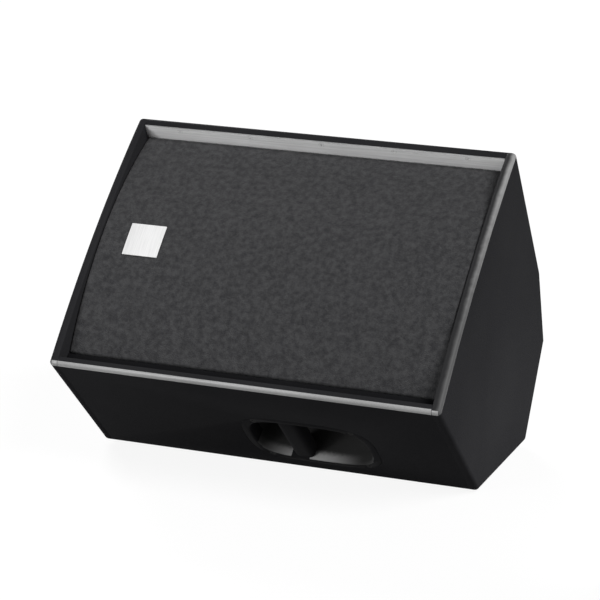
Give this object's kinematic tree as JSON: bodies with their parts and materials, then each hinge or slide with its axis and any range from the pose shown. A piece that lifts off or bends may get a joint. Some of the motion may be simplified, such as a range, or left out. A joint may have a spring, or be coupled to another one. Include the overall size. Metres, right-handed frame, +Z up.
{
  "type": "stage monitor wedge",
  "caption": "Passive two-way floor monitor: a many-sided plywood box with a curved foam-faced grille, a carrying handle under it, rear sockets and a pole socket.",
  "frame": {"origin": "on the floor under the middle of the box", "axes": "+X to the right seen from the front, -Y towards the listener, +Z up"},
  "size_m": [0.58, 0.4752, 0.4585],
  "materials": {
    "cabinet_paint": "black textured paint over plywood",
    "bare_ply": "plywood with a thin coat of black",
    "satin_bar": "satin anodised",
    "badge": "bare brushed plate",
    "grille_steel": "matt black powder coat",
    "grille_foam": "open-cell acoustic foam",
    "handle_plastic": "fine moulded grain",
    "black_screws": "black zinc",
    "bright_screws": "zinc plated",
    "dish_steel": "black powder coat",
    "socket_plastic": "moulded",
    "foot_rubber": "moulded rubber",
    "basket_steel": "black paint on pressed steel",
    "motor_steel": "zinc plated",
    "ferrite": "ground ferrite",
    "gasket": "pressed paper board, black",
    "cone_paper": "treated paper",
    "coil_wire": "copper wire on a former",
    "surround_cloth": "sealed corrugated cloth",
    "spider_cloth": "resin-dipped cloth",
    "terminal_board": "phenolic paper board",
    "horn_plastic": "moulded",
    "diaphragm_metal": "drawn foil",
    "spacer_plastic": "moulded nylon",
    "inductor_copper": "enamelled copper wire",
    "capacitor_film": "wrapped film",
    "resistor_ceramic": "ceramic block",
    "lead_jacket": "two-core leads in a soft jacket"
  },
  "bodies": {
    "cabinet": {"left_end_panel": "cabinet_paint", "right_end_panel": "cabinet_paint", "kick_panel": "cabinet_paint", "floor_panel": "cabinet_paint", "lower_rear_panel": "cabinet_paint", "upper_rear_panel": "cabinet_paint", "top_panel": "cabinet_paint", "grille_ledge": "cabinet_paint", "baffle": "bare_ply", "baffle_cleats": "bare_ply", "grille_ribs": "bare_ply", "grille_retainer": "satin_bar", "retainer_screws": "satin_bar", "badge_plate": "badge", "grille_sheet": "grille_steel", "grille_foam": "grille_foam", "handle_cup": "handle_plastic", "handle_grip": "handle_plastic", "handle_screws": "black_screws", "dish_screws": "black_screws", "pole_socket_screws": "black_screws", "woofer_screws": "black_screws", "horn_screws": "black_screws", "socket_screws": "black_screws", "foot_screws": "bright_screws", "crossover_screws": "bright_screws", "driver_bolts": "bright_screws", "connector_dish": "dish_steel", "pole_socket": "dish_steel", "input_socket": "socket_plastic", "link_socket": "socket_plastic", "feet": "foot_rubber", "woofer_basket": "basket_steel", "woofer_top_plate": "motor_steel", "woofer_back_plate": "motor_steel", "driver_pole_plate": "motor_steel", "driver_top_plate": "motor_steel", "woofer_magnet": "ferrite", "driver_magnet": "ferrite", "woofer_gasket": "gasket", "woofer_surround": "surround_cloth", "woofer_spider": "spider_cloth", "driver_suspension": "spider_cloth", "woofer_terminals": "terminal_board", "crossover_board": "terminal_board", "horn": "horn_plastic", "driver_cover": "horn_plastic", "port_tubes": "horn_plastic", "crossover_spacers": "spacer_plastic", "crossover_coils": "inductor_copper", "crossover_capacitors": "capacitor_film", "crossover_resistors": "resistor_ceramic", "input_lead": "lead_jacket", "link_lead": "lead_jacket", "woofer_lead": "lead_jacket", "driver_lead": "lead_jacket"},
    "cone": {"woofer_cone": "cone_paper", "woofer_dust_cap": "cone_paper", "woofer_coil": "coil_wire"},
    "diaphragm": {"driver_diaphragm": "diaphragm_metal"}
  },
  "joints": [
    {"name": "cone_travel", "type": "slide", "parent": "cabinet", "child": "cone", "axis": [0, -0.6717, 0.7408], "range_m": [-0.006, 0.006], "stiffness_N_per_m": 4000, "deforming": ["woofer_surround", "woofer_spider"]},
    {"name": "diaphragm_travel", "type": "slide", "parent": "cabinet", "child": "diaphragm", "axis": [0, -0.6717, 0.7408], "range_m": [-0.0004, 0.0004], "stiffness_N_per_m": 4000, "deforming": ["driver_suspension"]}
  ]
}
